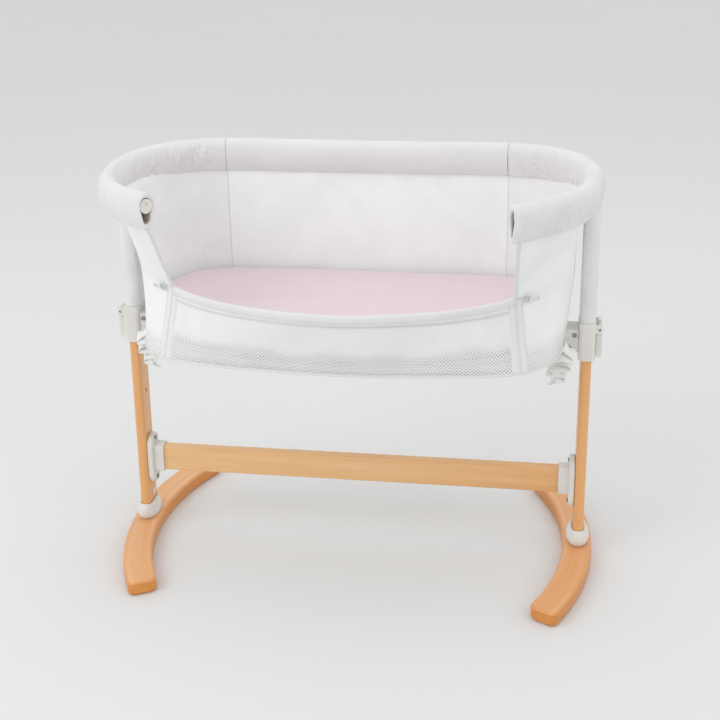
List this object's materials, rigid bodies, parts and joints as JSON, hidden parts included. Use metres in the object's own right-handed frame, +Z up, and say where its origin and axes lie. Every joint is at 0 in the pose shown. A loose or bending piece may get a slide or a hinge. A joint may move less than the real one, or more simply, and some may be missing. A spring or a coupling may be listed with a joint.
{
  "type": "bassinet on stand",
  "caption": "Bedside bassinet: soft-sided cradle with a padded C-shaped rail and mattress, hung between height-adjustable wooden legs on curved feet with a crossbar.",
  "frame": {"origin": "on the floor under the middle of the object, 13 mm in front of the plane of the two legs", "axes": "+X to the right seen from the open front, +Y to the back, +Z up"},
  "size_m": [0.915, 0.5632, 0.774],
  "materials": {
    "beech": "lacquered beech, satin",
    "beech_feet": "lacquered beech, satin",
    "plastic": "off-white moulded, fine grain",
    "white_paint": "white powder coat, satin",
    "ring_tube": "satin",
    "hidden_steel": "zinc plated",
    "screw_steel": "zinc plated screw head",
    "zip_metal": "nickel plated zip hardware",
    "padded_fabric": "white plain-weave polyester over wadding",
    "mesh_fabric": "white warp-knit mesh, see-through",
    "webbing": "off-white woven webbing",
    "pink_sheet": "pale pink cotton sheet",
    "board": "fibreboard under white cloth"
  },
  "bodies": {
    "stand": {"foot_right": "beech_feet", "foot_left": "beech_feet", "foot_bolt_right": "hidden_steel", "foot_bolt_left": "hidden_steel", "leg_collar_right": "plastic", "leg_collar_left": "plastic", "leg_right": "beech", "leg_left": "beech", "leg_plug_right": "plastic", "leg_plug_left": "plastic", "crossbar": "beech", "bar_bracket_right": "plastic", "bar_bracket_left": "plastic", "bracket_screw_right_lower": "screw_steel", "bracket_screw_left_lower": "screw_steel", "bracket_screw_right_upper": "screw_steel", "bracket_screw_left_upper": "screw_steel"},
    "cradle": {"height_housing_right": "plastic", "height_housing_left": "plastic", "lever_pin_right": "hidden_steel", "lever_pin_left": "hidden_steel", "lever_spring_right": "hidden_steel", "lever_spring_left": "hidden_steel", "post_right": "white_paint", "post_left": "white_paint", "rail_saddle_right": "plastic", "rail_saddle_left": "plastic", "rail_tube": "white_paint", "rail_sleeve_back": "padded_fabric", "rail_sleeve_right": "padded_fabric", "rail_sleeve_left": "padded_fabric", "rail_end_plug_right": "plastic", "rail_end_plug_left": "plastic", "base_ring": "ring_tube", "basket_lug_right": "plastic", "basket_lug_left": "plastic", "lug_screw_right_1": "screw_steel", "lug_screw_left_1": "screw_steel", "lug_screw_right_2": "screw_steel", "lug_screw_left_2": "screw_steel", "base_board": "board", "mattress": "pink_sheet", "side_wall_right": "mesh_fabric", "side_wall_left": "mesh_fabric", "back_wall": "mesh_fabric", "front_panel": "mesh_fabric", "front_binding": "padded_fabric", "basket_floor": "padded_fabric", "zip_slider_right": "zip_metal", "zip_slider_left": "zip_metal", "strap_right": "webbing", "strap_left": "webbing"},
    "lever_right": {"release_lever_right": "plastic"},
    "pin_right": {"lock_pin_right": "hidden_steel"},
    "pull_right": {"zip_pull_right": "zip_metal"},
    "lever_left": {"release_lever_left": "plastic"},
    "pin_left": {"lock_pin_left": "hidden_steel"},
    "pull_left": {"zip_pull_left": "zip_metal"}
  },
  "joints": [
    {"name": "height_slide", "type": "slide", "parent": "stand", "child": "cradle", "axis": [0, 0, 1], "range_m": [-0.132, 0.066]},
    {"name": "lever_right_release", "type": "hinge", "parent": "cradle", "child": "lever_right", "pos_m": [0.4515, 0.01275, 0.471], "axis": [0, -1, 0], "range_deg": [0, 10], "stiffness_Nm_per_rad": 0.6},
    {"name": "pin_right_draw", "type": "slide", "parent": "cradle", "child": "pin_right", "axis": [1, 0, 0], "range_m": [0, 0.0071]},
    {"name": "zip_right_swing", "type": "hinge", "parent": "cradle", "child": "pull_right", "pos_m": [0.324, -0.1474, 0.5697], "axis": [0, 0, 1], "range_deg": [-29, 3]},
    {"name": "lever_left_release", "type": "hinge", "parent": "cradle", "child": "lever_left", "pos_m": [-0.4515, 0.01275, 0.471], "axis": [0, 1, 0], "range_deg": [0, 10], "stiffness_Nm_per_rad": 0.6},
    {"name": "pin_left_draw", "type": "slide", "parent": "cradle", "child": "pin_left", "axis": [-1, 0, 0], "range_m": [0, 0.0071]},
    {"name": "zip_left_swing", "type": "hinge", "parent": "cradle", "child": "pull_left", "pos_m": [-0.324, -0.1474, 0.5697], "axis": [0, 0, -1], "range_deg": [-29, 3]}
  ],
  "couplings": [
    {"joint": "pin_right_draw", "follows": "lever_right_release", "m_per_rad": 0.04},
    {"joint": "pin_left_draw", "follows": "lever_left_release", "m_per_rad": 0.04}
  ]
}
